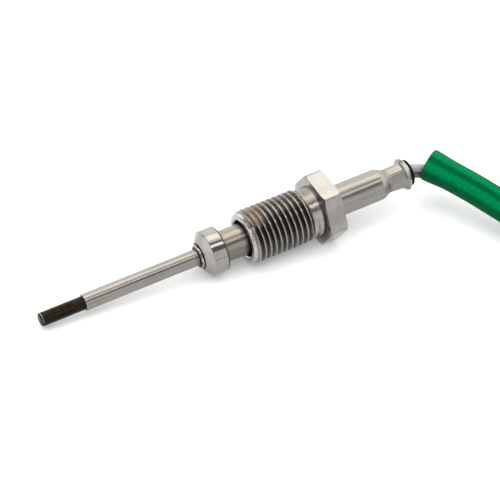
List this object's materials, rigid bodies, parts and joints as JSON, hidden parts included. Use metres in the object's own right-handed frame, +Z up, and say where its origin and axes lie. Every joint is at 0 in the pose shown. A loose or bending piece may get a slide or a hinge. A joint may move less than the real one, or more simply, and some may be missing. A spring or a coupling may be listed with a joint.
{
  "type": "exhaust gas temperature sensor",
  "caption": "Slim metal probe with a dark tip, a cone-seated collar, a loose threaded hexagon nut and a green woven cable with a plain connector, for sensing exhaust gas heat.",
  "frame": {"origin": "on the table, under the middle of the probe's box without its cable", "axes": "+X along the probe from its tip to its cable, seen from above; +Z up from the table"},
  "size_m": [0.2216, 0.0877, 0.0171],
  "materials": {
    "dark_steel": "heat-darkened, worn bright at its end",
    "chip_ceramic": "plain fired ceramic",
    "bare_wire": "drawn wire",
    "packed_powder": "pressed mineral powder",
    "sheath_steel": "drawn stainless tube",
    "glass_seal": "fused seal",
    "turned_steel": "turned stainless",
    "tube_steel": "drawn stainless, slightly heat-tinted",
    "ferrule_brass": "plain brass",
    "shrink_sleeve": "thin insulating sleeve",
    "black_rubber": "moulded rubber",
    "nut_steel": "machined stainless",
    "grey_insulation": "extruded insulation",
    "green_weave": "coated woven sleeve",
    "tie_plastic": "moulded strap",
    "connector_plastic": "moulded plastic",
    "tinned_brass": "tinned",
    "seal_rubber": "moulded seal"
  },
  "bodies": {
    "probe": {"tip_cap": "dark_steel", "sensing_element": "chip_ceramic", "element_leads": "bare_wire", "tip_filler": "packed_powder", "probe_sheath": "sheath_steel", "mineral_insulation": "packed_powder", "core_wires": "bare_wire", "sheath_end_seal": "glass_seal", "seat_collar": "turned_steel", "rear_tube": "tube_steel", "wire_separator": "chip_ceramic", "splice_ferrules": "ferrule_brass", "splice_sleeves": "shrink_sleeve", "rear_grommet": "black_rubber", "lead_wires": "grey_insulation", "cable_sleeve": "green_weave", "cable_coil": "green_weave", "coil_tie": "tie_plastic", "lead_tails": "grey_insulation", "connector_housing": "connector_plastic", "contact_pins": "tinned_brass", "wire_seals": "seal_rubber"},
    "nut": {"union_nut": "nut_steel"}
  },
  "joints": [
    {"name": "nut_slide", "type": "slide", "parent": "probe", "child": "nut", "axis": [0.9974, 0, 0.0726], "range_m": [-0.00655, 0.02]}
  ]
}
